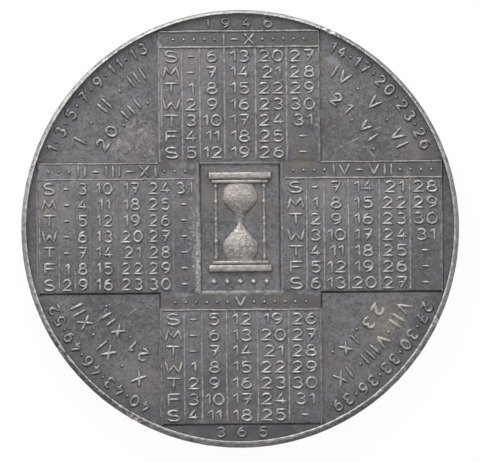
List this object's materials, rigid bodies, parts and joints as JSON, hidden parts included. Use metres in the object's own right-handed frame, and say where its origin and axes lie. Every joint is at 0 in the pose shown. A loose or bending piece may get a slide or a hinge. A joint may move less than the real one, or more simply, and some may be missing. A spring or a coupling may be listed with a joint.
{
  "type": "pocket calendar medal",
  "caption": "Round struck calendar medal with a narrow raised rim, a cross of month tables around a sunk hourglass panel and inscribed quarters, for reading dates by hand.",
  "frame": {"origin": "centre of the disc on the plane of the reverse rim, on which the medal lies", "axes": "+Z out of the dated face, +Y toward the head of the calendar, +X to the reader's right"},
  "size_m": [0.04, 0.04, 0.003],
  "materials": {
    "field": "struck, oxidised and worn",
    "rim": "struck, oxidised and worn",
    "table": "struck, oxidised and worn",
    "lines": "struck, oxidised and worn",
    "figures": "struck, oxidised and worn",
    "inscription": "struck, oxidised and worn",
    "emblem": "struck, oxidised and worn"
  },
  "bodies": {
    "root": {"disc": "field", "rim": "rim", "year": "inscription", "day_count": "inscription", "panel_lozenges": "inscription", "quarter_1": "inscription", "quarter_2": "inscription", "quarter_3": "inscription", "quarter_4": "inscription", "hourglass_caps": "emblem", "hourglass_posts": "emblem", "hourglass_glass": "emblem", "panel_frame": "lines", "back_panel_frame": "lines", "table_upper": "table", "back_table_upper": "table", "lines_upper": "lines", "months_upper": "figures", "weekdays_upper": "figures", "days_upper": "figures", "table_left": "table", "back_table_left": "table", "lines_left": "lines", "months_left": "figures", "weekdays_left": "figures", "days_left": "figures", "table_right": "table", "back_table_right": "table", "lines_right": "lines", "months_right": "figures", "weekdays_right": "figures", "days_right": "figures", "table_lower": "table", "back_table_lower": "table", "lines_lower": "lines", "months_lower": "figures", "weekdays_lower": "figures", "days_lower": "figures", "back_lines_upper": "lines", "back_months_upper": "figures", "back_weekdays_upper": "figures", "back_days_upper": "figures", "back_lines_left": "lines", "back_months_left": "figures", "back_weekdays_left": "figures", "back_days_left": "figures", "back_lines_right": "lines", "back_months_right": "figures", "back_weekdays_right": "figures", "back_days_right": "figures"}
  },
  "joints": []
}
